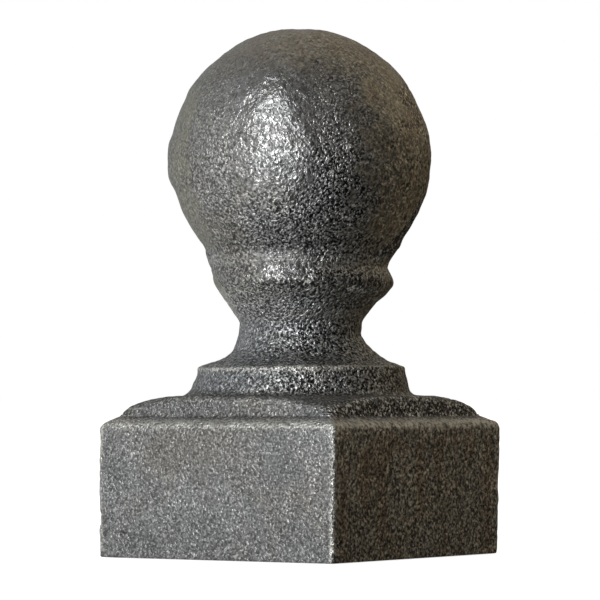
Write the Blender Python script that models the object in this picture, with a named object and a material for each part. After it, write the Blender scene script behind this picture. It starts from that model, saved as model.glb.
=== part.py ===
"""Cast-iron ball finial that caps a square post.

The cap is one casting. From the rim up it is a hollow square skirt that drops over the post,
a sloping ledge, a square step with a low domed top, a round drum, a waisted neck, a ring,
a collar and a ball. Metres, +Z up. The origin is the middle of the rim it stands on.
"""

import math

import bmesh
import bpy
from mathutils import Matrix, Vector

# Post and socket
POST_WIDTH = 0.0508
POST_CLEARANCE = 0.0006
SOCKET_DEPTH = 0.0240
SOCKET_CORNER = 0.0015
SOCKET_ROOF_ROUND = 0.0010

# Skirt, with the taper that lets the casting leave its mould
WALL = 0.0042
SKIRT_HEIGHT = 0.0275
SKIRT_TAPER = 0.00025
SKIRT_CORNER = 0.0006
SKIRT_EDGE_ROUND = 0.0020

# Ledge that slopes up from the skirt, and the square step at its back
LEDGE_WIDTH = 0.0030
LEDGE_RISE = 0.0017
LEDGE_FOOT_ROUND = 0.0005
STEP_HEIGHT = 0.00415
STEP_TAPER = 0.00025
STEP_CORNER = 0.0012
STEP_EDGE_ROUND = 0.0013

# Low dome on the step: level at the drum's foot, then falling away to the corners in an arc
DOME_FALL_RADIUS = 0.0280

# Drum
DRUM_FOOT_RADIUS = 0.0231
DRUM_TOP_RADIUS = 0.0218
DRUM_HEIGHT = 0.0060
DRUM_FOOT_ROUND = 0.0020
DRUM_EDGE_ROUND = 0.0007

# Neck, between the shoulder on the drum and the flare under the ring
NECK_RADIUS = 0.0128
SHOULDER_RISE = 0.0031
SHOULDER_ROUND = 0.0078
NECK_HEIGHT = 0.0065
NECK_TOP_ROUND = 0.0020
FLARE_RADIUS = 0.0159
FLARE_RISE = 0.00405
FLARE_ROUND = 0.0012

# Ring: a soft bead whose sides would meet in an edge at these sizes
RING_EDGE_RADIUS = 0.02005
RING_UNDERSIDE_RISE = 0.00305
RING_ROUND = 0.0033
RING_UPPER_HEIGHT = 0.00415

# Collar, from the notch over the ring to the ball
NOTCH_RADIUS = 0.0187
NOTCH_ROUND = 0.0004
COLLAR_HEIGHT = 0.0038
COLLAR_TOP_RADIUS = 0.0199

# Ball
BALL_RADIUS = 0.0275

# Fineness of the mesh
SIDE_STEPS = 10
CORNER_STEPS = 4
DOME_STEPS = 4
FILLET_STEP = math.radians(18)
BALL_STEP = math.radians(8)
SHARP_EDGE = math.radians(32)

POINTS_ROUND = 4 * (SIDE_STEPS + CORNER_STEPS)


def fillet(before, corner, after, reach):
    """Arc that leaves one edge and meets the next, both at this reach from their corner."""
    to_before = (before - corner).normalized()
    to_after = (after - corner).normalized()
    to_centre = (to_before + to_after).normalized()
    centre = corner + to_centre * reach / to_centre.dot(to_before)
    start = corner + to_before * reach - centre
    end = corner + to_after * reach - centre
    sweep = math.atan2(start.cross(end), start.dot(end))
    steps = max(1, math.ceil(abs(sweep) / FILLET_STEP))
    return [centre + Matrix.Rotation(sweep * step / steps, 2) @ start for step in range(steps + 1)]


def rounded_outline(corners):
    """An open outline through (across, up, radius) corners, each rounded to its radius.

    Where two neighbours' arcs would overlap on the edge between them, both take less of it.
    """
    places = [Vector(corner[:2]) for corner in corners]
    reaches = [0.0] * len(corners)
    for index in range(1, len(corners) - 1):
        arriving = places[index] - places[index - 1]
        leaving = places[index + 1] - places[index]
        reaches[index] = corners[index][2] * math.tan(arriving.angle(leaving) / 2)
    shares = [1.0] * len(corners)
    for index in range(len(corners) - 1):
        wanted = reaches[index] + reaches[index + 1]
        share = min(1.0, (places[index + 1] - places[index]).length / max(wanted, 1e-9))
        shares[index] = min(shares[index], share)
        shares[index + 1] = min(shares[index + 1], share)
    outline = [places[0]]
    for index in range(1, len(corners) - 1):
        reach = reaches[index] * shares[index]
        outline += fillet(places[index - 1], places[index], places[index + 1], reach)
    return [tuple(point) for point in outline + [places[-1]]]


def square_plan(half_width, corner_radius):
    """Points round a square with rounded corners, anticlockwise from where its +X side ends."""
    straight = half_width - corner_radius
    quarter = []
    for step in range(CORNER_STEPS):
        angle = math.pi / 2 * step / CORNER_STEPS
        quarter.append((straight + corner_radius * math.cos(angle), straight + corner_radius * math.sin(angle)))
    for step in range(SIDE_STEPS):
        quarter.append((straight - 2 * straight * step / SIDE_STEPS, half_width))
    points = []
    for _ in range(4):
        points += quarter
        quarter = [(-y, x) for x, y in quarter]
    return points


def circle_plan(radius):
    """As many points round a circle, each facing its fellow on the square."""
    step_angle = 2 * math.pi / POINTS_ROUND
    first = math.pi / 4 - CORNER_STEPS / 2 * step_angle
    angles = [first + step_angle * index for index in range(POINTS_ROUND)]
    return [(radius * math.cos(angle), radius * math.sin(angle)) for angle in angles]


def level_section(plan, height):
    return [(x, y, height) for x, y in plan]


def skirt_half_width():
    return POST_WIDTH / 2 + POST_CLEARANCE + WALL


def step_foot():
    """Half width and height of the line where the ledge meets the step."""
    return skirt_half_width() - LEDGE_WIDTH, SKIRT_HEIGHT + LEDGE_RISE


def dome_height(x, y):
    """Height of the dome over a point: level near the drum, a falling arc beyond."""
    level = DRUM_FOOT_RADIUS + DRUM_FOOT_ROUND
    beyond = max(0.0, math.hypot(x, y) - level)
    return step_foot()[1] + STEP_HEIGHT - beyond * beyond / (2 * DOME_FALL_RADIUS)


def skirt_sections():
    """Outer sections from the rim up to the foot of the step."""
    half_width = skirt_half_width()
    foot_half_width, foot_height = step_foot()
    outline = rounded_outline([
        (half_width - SKIRT_TAPER, 0.0, 0.0),
        (half_width, SKIRT_HEIGHT, SKIRT_EDGE_ROUND),
        (foot_half_width, foot_height, LEDGE_FOOT_ROUND),
        (foot_half_width - STEP_TAPER, foot_height + STEP_HEIGHT, 0.0),
    ])[:-1]
    sections = []
    for across, height in outline:
        inward = min(1.0, max(0.0, (half_width - across) / LEDGE_WIDTH))
        corner = SKIRT_CORNER + (STEP_CORNER - SKIRT_CORNER) * inward
        sections.append(level_section(square_plan(across, corner), height))
    return sections


def step_sections():
    """Rounded upper edge of the step, which follows the dome down to each corner."""
    foot_half_width, foot_height = step_foot()
    top_half_width = foot_half_width - STEP_TAPER
    steps = math.ceil(math.pi / 2 / FILLET_STEP)
    sections = []
    for step in range(steps + 1):
        angle = math.pi / 2 * step / steps
        half_width = top_half_width - STEP_EDGE_ROUND * (1 - math.cos(angle))
        section = []
        for x, y in square_plan(half_width, STEP_CORNER):
            top = dome_height(x, y)
            depth = min(STEP_EDGE_ROUND, 0.8 * (top - foot_height))
            section.append((x, y, top - depth * (1 - math.sin(angle))))
        sections.append(section)
    return sections


def dome_sections(drum_radius):
    """Sections that pass from the step's square to the drum's circle over the dome."""
    square = square_plan(step_foot()[0] - STEP_TAPER - STEP_EDGE_ROUND, STEP_CORNER)
    circle = circle_plan(drum_radius)
    sections = []
    for step in range(1, DOME_STEPS):
        share = step / DOME_STEPS
        plan = [
            (sx + (cx - sx) * share, sy + (cy - sy) * share)
            for (sx, sy), (cx, cy) in zip(square, circle)
        ]
        sections.append([(x, y, dome_height(x, y)) for x, y in plan])
    return sections


def turned_outline():
    """(radius, height) of the turned stretch, from the drum's foot to just under the ball's pole."""
    drum_foot = dome_height(0.0, 0.0)
    drum_top = drum_foot + DRUM_HEIGHT
    neck_foot = drum_top + SHOULDER_RISE
    neck_top = neck_foot + NECK_HEIGHT
    flare_top = neck_top + FLARE_RISE
    ring_edge = flare_top + RING_UNDERSIDE_RISE
    notch = ring_edge + RING_UPPER_HEIGHT
    collar_top = notch + COLLAR_HEIGHT
    outline = rounded_outline([
        (DRUM_FOOT_RADIUS + DRUM_FOOT_ROUND, drum_foot, 0.0),
        (DRUM_FOOT_RADIUS, drum_foot, DRUM_FOOT_ROUND),
        (DRUM_TOP_RADIUS, drum_top, DRUM_EDGE_ROUND),
        (NECK_RADIUS, neck_foot, SHOULDER_ROUND),
        (NECK_RADIUS, neck_top, NECK_TOP_ROUND),
        (FLARE_RADIUS, flare_top, FLARE_ROUND),
        (RING_EDGE_RADIUS, ring_edge, RING_ROUND),
        (NOTCH_RADIUS, notch, NOTCH_ROUND),
        (COLLAR_TOP_RADIUS, collar_top, 0.0),
    ])[1:-1]
    seat = math.acos(COLLAR_TOP_RADIUS / BALL_RADIUS)
    centre = collar_top + BALL_RADIUS * math.sin(seat)
    steps = math.ceil((seat + math.pi / 2) / BALL_STEP)
    for step in range(steps):
        angle = -seat + (seat + math.pi / 2) * step / steps
        outline.append((BALL_RADIUS * math.cos(angle), centre + BALL_RADIUS * math.sin(angle)))
    return outline, centre + BALL_RADIUS


def socket_sections():
    """Inner sections from the socket's mouth up to the flat roof the post bears on."""
    half_width = POST_WIDTH / 2 + POST_CLEARANCE
    outline = rounded_outline([
        (half_width, 0.0, 0.0),
        (half_width, SOCKET_DEPTH, SOCKET_ROOF_ROUND),
        (0.0, SOCKET_DEPTH, 0.0),
    ])[:-1]
    sections = []
    for across, height in outline:
        corner = max(SOCKET_CORNER - (half_width - across), SOCKET_CORNER / 4)
        sections.append(level_section(square_plan(across, corner), height))
    return sections


def add_ring(mesh, section):
    return [mesh.verts.new(point) for point in section]


def bridge(mesh, lower, upper):
    """Joins two rings of vertices with a band of faces."""
    count = len(lower)
    for index in range(count):
        following = (index + 1) % count
        mesh.faces.new((lower[index], lower[following], upper[following], upper[index]))


def cap_mesh():
    """The whole casting as one closed skin, from the socket's roof out over the rim to the pole."""
    outline, pole_height = turned_outline()
    turned = [level_section(circle_plan(radius), height) for radius, height in outline]
    outside = skirt_sections() + step_sections() + dome_sections(outline[0][0]) + turned
    sections = list(reversed(socket_sections())) + outside
    mesh = bmesh.new()
    rings = [add_ring(mesh, section) for section in sections]
    for lower, upper in zip(rings, rings[1:]):
        bridge(mesh, lower, upper)
    mesh.faces.new(reversed(rings[0]))
    pole = mesh.verts.new((0.0, 0.0, pole_height))
    for index, vertex in enumerate(rings[-1]):
        mesh.faces.new((vertex, rings[-1][(index + 1) % POINTS_ROUND], pole))
    bmesh.ops.recalc_face_normals(mesh, faces=mesh.faces)
    return mesh


def iron_material():
    """Bare sand-cast iron: a dark warm grey, part metal and part scale."""
    material = bpy.data.materials.new("cast_iron")
    material.use_nodes = True
    shader = material.node_tree.nodes["Principled BSDF"]
    shader.inputs["Base Color"].default_value = (0.18, 0.175, 0.165, 1.0)
    shader.inputs["Metallic"].default_value = 0.6
    shader.inputs["Roughness"].default_value = 0.5
    return material


def clear_scene():
    for item in list(bpy.data.objects):
        bpy.data.objects.remove(item, do_unlink=True)


def make_post_cap():
    data = bpy.data.meshes.new("post_cap")
    mesh = cap_mesh()
    mesh.to_mesh(data)
    mesh.free()
    data.shade_smooth()
    data.set_sharp_from_angle(angle=SHARP_EDGE)
    data.materials.append(iron_material())
    cap = bpy.data.objects.new("post_cap", data)
    bpy.context.scene.collection.objects.link(cap)
    return cap


clear_scene()
make_post_cap()
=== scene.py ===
"""Looks of the cast-iron post cap.

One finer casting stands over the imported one. Its sections are the same but for the ring, whose
edge is here 0.15 mm smaller in radius, 0.95 mm higher and more tightly rounded. Over them come the
wander of the sand mould, the strip and the flats ground along its left parting line, the mismatch
of its halves, pits, nicks and coarse grain as real relief. The finest grain is in the material.
Metres, +Z up. "Left" and "right" below are the camera's, as the photograph shows them.
"""

import math

import bpy
import numpy as np
from mathutils import Matrix, Vector


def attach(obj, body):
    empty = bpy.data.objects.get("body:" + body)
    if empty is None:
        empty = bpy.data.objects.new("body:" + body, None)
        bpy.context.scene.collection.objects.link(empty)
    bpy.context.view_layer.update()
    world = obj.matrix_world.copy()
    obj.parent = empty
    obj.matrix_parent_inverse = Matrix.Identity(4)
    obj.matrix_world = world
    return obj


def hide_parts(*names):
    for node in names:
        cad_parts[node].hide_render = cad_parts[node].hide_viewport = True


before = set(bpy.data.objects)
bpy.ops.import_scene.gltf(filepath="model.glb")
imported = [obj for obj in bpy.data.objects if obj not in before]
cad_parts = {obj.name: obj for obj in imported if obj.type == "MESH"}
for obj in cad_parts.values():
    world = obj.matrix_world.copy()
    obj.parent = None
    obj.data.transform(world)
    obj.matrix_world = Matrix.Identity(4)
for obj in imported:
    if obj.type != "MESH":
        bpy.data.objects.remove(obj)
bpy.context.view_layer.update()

# Camera, as fitted to the photograph's edges and silhouette
CAMERA_AZIMUTH = math.radians(36.16)
CAMERA_DISTANCE = 0.7755
CAMERA_HEIGHT = 0.0328
CAMERA_PITCH = math.radians(1.53)
CAMERA_ROLL = math.radians(-0.17)
CAMERA_LENS = 221.64
SENSOR_WIDTH = 36.0

# Post and socket
POST_WIDTH = 0.0508
POST_CLEARANCE = 0.0006
SOCKET_DEPTH = 0.0240
SOCKET_CORNER = 0.0015
SOCKET_ROOF_ROUND = 0.0010

# Skirt
WALL = 0.0042
SKIRT_HEIGHT = 0.0275
SKIRT_TAPER = 0.00025
SKIRT_CORNER = 0.0006
SKIRT_EDGE_ROUND = 0.0020
RIM_ROUND = 0.0004

# Ledge and step
LEDGE_WIDTH = 0.0030
LEDGE_RISE = 0.0017
LEDGE_FOOT_ROUND = 0.0005
STEP_HEIGHT = 0.00415
STEP_TAPER = 0.00025
STEP_CORNER = 0.0012
STEP_EDGE_ROUND = 0.0013
STEP_EDGE_SHARE = 0.8

# Dome and drum
DOME_FALL_RADIUS = 0.0280
DRUM_FOOT_RADIUS = 0.0231
DRUM_TOP_RADIUS = 0.0218
DRUM_HEIGHT = 0.0060
DRUM_FOOT_ROUND = 0.0020
DRUM_EDGE_ROUND = 0.0007

# Neck
NECK_RADIUS = 0.0128
SHOULDER_RISE = 0.0031
SHOULDER_ROUND = 0.0078
NECK_HEIGHT = 0.0065
NECK_TOP_ROUND = 0.0020
FLARE_RADIUS = 0.0159
FLARE_RISE = 0.00405
FLARE_ROUND = 0.0012

# Ring, collar and ball
RING_EDGE_RADIUS = 0.0199
RING_UNDERSIDE_RISE = 0.0040
RING_ROUND = 0.0019
RING_UPPER_HEIGHT = 0.0032
NOTCH_RADIUS = 0.0187
NOTCH_ROUND = 0.0004
COLLAR_HEIGHT = 0.0038
COLLAR_TOP_RADIUS = 0.0199
BALL_RADIUS = 0.0275

# Widths and levels that follow from these
SOCKET_HALF_WIDTH = POST_WIDTH / 2 + POST_CLEARANCE
SKIRT_HALF_WIDTH = SOCKET_HALF_WIDTH + WALL
STEP_HALF_WIDTH = SKIRT_HALF_WIDTH - LEDGE_WIDTH
STEP_FOOT = SKIRT_HEIGHT + LEDGE_RISE
STEP_TOP = STEP_FOOT + STEP_HEIGHT
DRUM_TOP = STEP_TOP + DRUM_HEIGHT
NECK_FOOT = DRUM_TOP + SHOULDER_RISE

# Fineness of the mesh: points round each zone, and the gap between its rows
CORNER_STEPS = 6
SKIRT_SIDE_STEPS = 95
SOCKET_SIDE_STEPS = 22
TURNED_STEPS = 286
ROW_GAP = 0.00061
SOCKET_ROW_GAP = 0.0024
FILLET_STEP = math.radians(15)
DOME_STEPS = 6
CORNER_SHARE = 0.06
BEND_ROUNDS = 3
TINY = 1e-9

# Wander of the sand mould, seen from the camera: height, spread along the height, shift outwards
LEFT_LIMB = (
    (0.1045, 0.0040, -0.00035),
    (0.0568, 0.0024, -0.00125),
    (0.0422, 0.0022, -0.00070),
    (0.0404, 0.0009, 0.00040),
    (0.0376, 0.0016, -0.00055),
    (0.0338, 0.0008, 0.00060),
)
RIGHT_LIMB = (
    (0.0942, 0.0045, -0.00020),
    (0.0642, 0.0016, 0.00055),
    (0.0603, 0.0022, -0.00045),
    (0.0546, 0.0018, 0.00050),
    (0.0488, 0.0025, 0.00025),
    (0.0460, 0.0014, -0.00035),
    (0.0420, 0.0022, 0.00065),
)
SKIRT_LEAN = (-0.00015, 0.00025)

# From here on, three numbers of a range are from, to and how far each end is eased. A fourth, in a
# band of heights, is how much the band has or loses.

# Strip dressed with a wheel down the left parting line, in degrees off the camera and of rise
STRIP_SIDES = (-112.0, -57.0, 4.0)
STRIP_CUT_SIDES = (-112.0, -57.0, 14.0)
STRIP_RISE = (-46.0, 34.0, 5.0)
STRIP_FOOT = (0.72, 0.66)
STRIP_UNEVENNESS = 4.0
STRIP_STAGES = ((10.0, 30.0, 0.00025), (-9.0, 8.0, -0.00028), (-44.0, -12.0, 0.00055))
STAGE_EASE = 3.0

# What the wheel missed of it
MISSED_SIDES = (-120.0, -74.0, 3.0)
MISSED_RISE = (-13.0, 16.0, 4.0)
MISSED_SHARE = 0.8
SPOT_RISE = (-20.0, 12.0, 4.0)
SPOT_RANGE = (0.7, 1.6)
SPOT_SHARE = 0.7

# Mismatch of the mould's halves low on the ball's right: a lip, the lower half behind it, and painted shade
# in the groove between
SEAM_TURN = 77.0
SEAM_BEND = -21.0
SEAM_SLANT = 0.9
SEAM_UNEVENNESS = 2.0
SEAM_RISE = (-40.0, -18.0, 3.5)
LIP_SIDES = (-3.0, 0.0, 1.5)
LIP_HEIGHT = 0.00018
LIP_WORN_SIDES = (-3.0, 0.5, 1.0)
LOWER_HALF_SIDES = (0.0, 40.0, 1.5)
LOWER_HALF_DEPTH = 0.00030
# Painted shade in the groove behind the lip
SEAM_DARK_SIDES = (1.0, 32.0, 2.5)
SEAM_DARK_RISE = (-51.0, -20.0, 3.0)

# Flats ground on the left of the ring: angle right of the camera, rise, and a radius and height on each
RING_FLATS = ((-84.0, -17.0, 0.0177, 0.0573), (-84.0, -31.0, 0.0156, 0.0539))
RING_REACH = (0.0490, 0.0625, 0.0008)
GROUND_DEPTH = 0.0003

# Random patterns: wavelength, seed and number of waves of each, then the heights of the relief
UNDULATION = (0.0110, 11, 48)
ORANGE_PEEL = (0.0040, 12, 48)
COARSE_GRAIN = (0.0019, 13, 48)
STRIP_PATTERN = (0.0060, 21, 24)
FILM_AND_WARM_LIGHT_PATTERN = (0.0060, 22, 24)
WORN_PATTERN = (0.0040, 23, 24)
SEAM_PATTERN = (0.0090, 24, 24)
RUN_PATTERN = (0.0060, 25, 32)
SPOT_PATTERN = (0.0026, 26, 48)
LIMB_PATTERN = (0.0075, 27, 24)
WAVE_SPREAD = (0.75, 1.35)
UNDULATION_HEIGHT = 0.00006
ORANGE_PEEL_HEIGHT = 0.000035
COARSE_GRAIN_HEIGHT = 0.000028
RELIEF_FOOT = 0.0008

# Pits: place, radius and depth of the plain ones, then how many small ones are strewn
PITS = (
    (-0.0299, -0.0301, 0.0087, 0.0010, 0.00045),
    (-0.0300, -0.0301, 0.0072, 0.0009, 0.00040),
    (-0.0237, -0.0301, 0.0052, 0.0007, 0.00035),
    (-0.0281, -0.0301, 0.0052, 0.0006, 0.00030),
    (-0.0255, -0.0301, 0.0167, 0.0005, 0.00020),
    (0.0301, -0.0301, 0.0096, 0.0007, 0.00045),
    (0.0302, -0.0301, 0.0218, 0.0005, 0.00025),
    (0.0302, -0.0301, 0.0175, 0.0006, 0.00020),
    (0.0301, -0.0282, 0.0037, 0.0010, 0.00040),
    (0.0271, -0.0253, 0.0306, 0.0008, 0.00040),
)
PIT_SEED = 31
STREWN_PITS = 90
RIGHT_PITS = 34
PIT_RADII = (0.0003, 0.0007)
PIT_DEPTH_SHARES = (0.2, 0.4)
PIT_LIMB = (0.82, 0.97, 0.01)
PIT_LIMB_BAND = (0.066, 0.098, 0.001)
UNDERSIDE_SLOPE = -0.9

# Sides and slopes that several of the shares below keep to
RIGHT_SIDE = (0.2, 0.5)
RIGHT_SKIRT = (0.1, 0.5)
LEVEL_SLOPE = (0.5, 0.9)
TOP_SLOPE = (-0.15, 0.4)
BALL_FOOT = (0.060, 0.066)

# Film, lighter than the iron and partly painted warm light, on the right and top, a trace of it on the left,
# and what is rubbed
FILM_AND_WARM_LIGHT_SIDE = (0.40, 0.60)
FILM_AND_WARM_LIGHT_FOOT = (0.75, 0.55)
FILM_AND_WARM_LIGHT_UNEVENNESS = 0.05
FILM_AND_WARM_LIGHT_TOP_SLOPE = (0.45, 0.85)
FILM_AND_WARM_LIGHT_TOP_SHARE = 0.8
FILM_AND_WARM_LIGHT_SKIRT_EASE = 0.001
FILM_AND_WARM_LIGHT_SKIRT_SHARE = 0.4
FILM_LEFT_SIDE = (0.30, 0.75)
FILM_LEFT_SHARE = 0.25
RUBBED_SIDES = (-0.48, 0.09, 0.12)
RUBBED_FOOT = (0.0550, 0.0575)
RUBBED_SLOPE = (-0.45, -0.20)

# Wear of the proud edges, which also paints highlights along them: shaped on the ring, and on the drum's edge
# more on the lit left and less on the shaded right. Of two shares, the second is what a side or broken
# stretches add.
WORN_BEND = (130.0, 240.0)
WORN_RANGE = (-1.2, 0.8)
WORN_FOOT = (0.0008, 0.0022)
WORN_EDGES = (0.40, 0.40)
STEP_WEAR_LOSS = 0.75
STEP_WEAR_EASE = 0.002
# On the ring, the edges' painted highlight is taken off its lower half and, more past the middle, off its
# top, but kept more on its left
RING_LOW_LOSS = (0.0541, 0.0579, 0.0004, 0.95)
RING_TOP_BAND = (0.0579, 0.0608, 0.0004)
RING_TOP_LOSS = (0.60, 0.38)
RING_TOP_LEFT = (0.15, 0.45)
RING_LEFT_PAINTED_HIGHLIGHT = 0.50
PAST_MIDDLE = (0.05, 0.20)
# Painted light on the drum's edge, more on the lit left and less on the shaded right
DRUM_EDGE_BAND = (0.0380, 0.0402, 0.0005)
DRUM_EDGE_GAIN = (0.6, -1.5)

# Painted light in whole bands: the flare's left, the neck's top, the collar, and a highlight line on the
# notch past the middle; wear and painted highlight on the skirt's top edge, less on the right; wear on the
# seam's lip
FLARE_BAND = (0.0515, 0.0560, 0.0008)
FLARE_SIDE = (-0.2, 0.4)
FLARE_PAINTED_LIGHT = (0.16, 0.29)
NECK_TOP_PAINTED_LIGHT = (0.0490, 0.0514, 0.0008, 0.45)
SKIRT_TOP_BAND = (SKIRT_HEIGHT - 0.0007, SKIRT_HEIGHT + 0.0011, 0.0004)
SKIRT_TOP_WEAR_AND_HIGHLIGHT = (0.70, 0.30)
SKIRT_TOP_RIGHT_LOSS = 0.15
COLLAR_BAND = (0.0605, 0.0624, 0.0006)
COLLAR_PAINTED_LIGHT = (0.25, 0.15)
NOTCH_PAINTED_HIGHLIGHT = (0.0590, 0.0612, 0.0005, 0.30)
LIP_WEAR = 0.90

# Dirt and painted shade over the step and the dome where they face up, more on the far left, and a thin
# darkening up to the ball
DARKENING_FOOT = (STEP_FOOT - 0.0003, STEP_FOOT + 0.0008)
DARKENING_TOP = (0.062, 0.070)
DARKENING_LEFT = (0.008, 0.028)
DOME_DIRT_AND_SHADE = (0.54, 0.26)
DOME_DIRT_AND_SHADE_EASE = 0.002
NECK_DARKENING = (0.02, 0.12)
NECK_DARKENING_EASE = 0.006

# Painted shade in bands of height: all the way round on the neck and under the ball, where a negative share
# takes it off the collar; and on the right alone, the shaded side
SHADE_BANDS = (
    (0.0455, 0.0482, 0.0008, 0.18),
    (0.0629, 0.0685, 0.0008, 0.12),
    (0.0629, 0.0650, 0.0006, 0.18),
    (0.0607, 0.0624, 0.0006, -0.35),
)
RIGHT_SHADE_BANDS = (
    (STEP_FOOT, STEP_TOP, 0.0005, 0.60),
    (STEP_TOP, NECK_FOOT, 0.0005, 0.22),
    (0.0490, 0.0560, 0.0010, 0.60),
)

# Painted shade that keeps to some side or form, the most that dirt and painted shade may reach, and a dark
# line round the ground strip
# Painted shade on the ring past the middle, and on its lower half before it, which narrows its highlight
RING_EDGE_SHADE = (0.0550, 0.0583, 0.0004, 0.55)
RING_EDGE_SIDES = (0.03, 0.62, 0.10)
RING_LEFT_BAND = (0.0562, 0.0583, 0.0004)
RING_LEFT_END = (0.03, 0.20)
RING_LEFT_SHADE = (0.30, 0.30)
RING_LEFT_MIDDLE = (-0.15, 0.25)
# Painted shade under the ring, on the left
RING_FOOT_SHADE = (0.0530, 0.0562, 0.0004, 0.20)
RING_FOOT_LEFT = (0.1, 0.4)
# Painted shade low on the dome's far left
DOME_LEFT_SHADE = (0.0315, 0.0342, 0.0005, 0.35)
# Painted shade towards the skirt's foot, more on the shaded right
SKIRT_FOOT_SHADE = (0.28, 0.08)
SKIRT_FOOT_SHADE_TOP = 0.7
# Painted shade across the ball's highlight, which splits it in two lobes
BALL_SHADE_BELL = (0.0847, 0.0032)
BALL_SHADE_SIDES = (-0.45, -0.02, 0.08)
BALL_SHADE = 0.22
# Painted shade in recesses, by how sharply the surface bends inwards
RECESS_BEND = (100.0, 700.0)
RECESS_SHADE = 0.42
MOST_DIRT_AND_SHADE = 0.82
# Painted shade in pits and in the seam's groove
PIT_SHADE_DEPTH = 0.00012
PIT_SHADE = 0.95
BORDER_DIRT = 0.3

# Rust runs down the skirt's right, the bluer cast with painted light that brightens the drum and neck, and
# where the grain is coarser
RUN_STRETCH = 0.25
RUN_RANGE = (-0.1, 1.5)
RUN_TOP = (SKIRT_HEIGHT - 0.004, SKIRT_HEIGHT - 0.001)
RUN_SHARE = 0.55
COOL_AND_BRIGHTER_EASE = 0.0015
COOL_AND_BRIGHTER_TOP = (0.0530, 0.0560)
RIGHT_PEBBLES = 0.85
RUBBED_PEBBLES = 0.95
SPOTTED_RANGE = (-1.0, 0.3)
SPOTTED_SIDES = (0.78, 0.975, 0.02)
SPOTTED_BAND = (0.066, 0.100, 0.003)

# How strongly the grain shows
GRAIN_SIDE = (-0.85, 0.20)
LEAST_GRAIN = 0.23
LEAST_GRAIN_ABOVE = 0.26
LEAST_GRAIN_NECK = (0.0500, 0.0565, 0.0008, 0.25)
STEP_TOP_EASE = 0.001
FAR_RIGHT = (0.5, 1.0)
SKIRT_GRAIN_LOSS = 0.04
FILM_AND_WARM_LIGHT_GRAIN_LOSS = 0.45
TOP_GRAIN_LOSS = 0.45
DOME_GRAIN_TOP = (0.036, 0.040)
DOME_GRAIN_LOSS = 0.4
RUBBED_GRAIN_LOSS = 0.35
GROUND_GRAIN_LOSS = 0.40

# How high the grain stands
RELIEF = 0.75
STEP_RELIEF = (STEP_FOOT, 0.0570, 0.0015, 0.15)
NECK_RELIEF = (0.0500, 0.0565, 0.0008, 0.20)
TOP_RELIEF = -0.15
RUBBED_RELIEF_LOSS = 0.30
GROUND_RELIEF_LOSS = 0.35
FILM_AND_WARM_LIGHT_RELIEF_LOSS = 0.3
SPOTTED_RELIEF_GAIN = 0.7
RING_RELIEF_SIDE = (0.05, 0.25)
RING_RELIEF_LOSS = (0.0555, 0.0608, 0.0008, 0.35)
GROUND_COARSE_LOSS = 0.85
RUBBED_COARSE_GAIN = 0.4

# Sand grain of the material: scales per metre, then ranges and what each becomes
GRAIN_SCALE = 2180.0
PEBBLE_SCALE = 1120.0
PEBBLE_DETAIL = 1.0
MARK_SCALE = 1780.0
GRAIN_HEIGHT = 0.00058
GRAIN_TWIST = 0.6
GRAIN_TURN = (0.6, 0.8, 0.4)
GRAIN_LEVELS = (0.345, 0.655, 0.03, 1.90)
PIT_LEVELS = (0.44, 0.30, 1.0, 0.02)
DEEP_PIT_LEVELS = (0.36, 0.27, 1.0, 0.68)
FLECK_LEVELS = (0.56, 0.72, 1.0, 2.3)
DIRT_AND_SHADE_FLECKS = (0.58, 0.68, 0.0, 1.5)
RUBBED_TIPS = (0.35, 0.60, 0.2, 1.0)
TIPS = (0.37, 0.65)
MARK_SHARE = (0.0, 1.0, 0.40, 0.24)

# Patches of colour in it: scale per metre, the range of noise, and what it becomes
PATCH_DETAIL = 3.0
LIGHT_PATCHES = (120.0, 0.35, 0.65, 0.0, 1.0)
BROWN_STAINS = (75.0, 0.45, 0.68, 0.0, 0.5)
BROWN_PATCHES = (170.0, 0.42, 0.60, 0.0, 1.0)
GROUND_SHARE = 0.7

# Gloss by grain, relief and grinding, then metal and shine by dirt and painted shade
ROUGHNESS = (0.0, 1.0, 0.46, 0.32)
LOW_RELIEF_GLOSS = (0.38, 0.75, 0.65, 1.0)
GROUND_ROUGHNESS = (0.0, 1.0, 0.0, 0.08)
METALLIC = (0.6, 0.95, 0.75, 0.0)
SPECULAR = (0.6, 0.95, 0.5, 0.05)

# Colours of the iron
DARK_SCALE = (0.185, 0.184, 0.182)
LIGHT_SCALE = (0.235, 0.234, 0.230)
BROWN_SCALE = (0.200, 0.184, 0.160)
# Film colours, lighter than the iron: partly painted warm light
FILM_AND_WARM_LIGHT = (0.278, 0.260, 0.217)
BROWN_FILM_AND_WARM_LIGHT = (0.242, 0.211, 0.171)
RUST_RUN = (0.190, 0.142, 0.100)
# Dirt and painted shade
DIRT_AND_SHADE = (0.038, 0.039, 0.039)
GROUND_IRON = (0.228, 0.218, 0.170)
# Worn iron, also the colour of painted highlights
WORN_AND_HIGHLIGHT_IRON = (0.620, 0.605, 0.560)
# Bluer cast, above 1 overall: painted light on the drum and neck
COOL_AND_BRIGHTER_TINT = (1.01, 1.045, 1.09)
WHITE = (1.0, 1.0, 1.0)

# Window: degrees right of the camera and up, and rolled, then its distance, size, power and colour
WINDOW_TURN = -26.0
WINDOW_RISE = 17.5
WINDOW_ROLL = 13.0
WINDOW_DISTANCE = 1.5
WINDOW_TARGET = 0.05
WINDOW_SIZE = (0.27, 2.1)
WINDOW_POWER = 18.2
WINDOW_COLOUR = (0.96, 0.98, 1.0)

# Floor
FLOOR_SIZE = 60.0
FLOOR_GAP = 0.0002
FLOOR_COLOUR = (0.9, 0.9, 0.9)
FLOOR_GLOW = 0.85

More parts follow.
